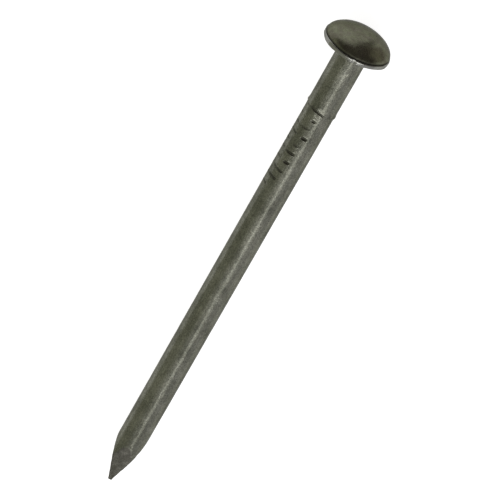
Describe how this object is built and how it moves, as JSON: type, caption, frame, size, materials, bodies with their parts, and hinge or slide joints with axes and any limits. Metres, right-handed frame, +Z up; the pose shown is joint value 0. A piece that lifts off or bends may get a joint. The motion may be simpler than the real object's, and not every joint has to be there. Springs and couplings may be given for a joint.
{
  "type": "wire nail",
  "caption": "Plain steel wire nail with a domed head, grip marks under the head and a four-sided pinched point.",
  "frame": {"origin": "on the nail's axis, at the centre of the head's bearing face", "axes": "+X along the axis towards the head, -X towards the point, +Z up as the nail lies on its side"},
  "size_m": [0.0526, 0.0062, 0.0062],
  "materials": {
    "steel": "bare drawn wire, dull grey with an oily olive cast"
  },
  "bodies": {
    "root": {"nail": "steel"}
  },
  "joints": []
}
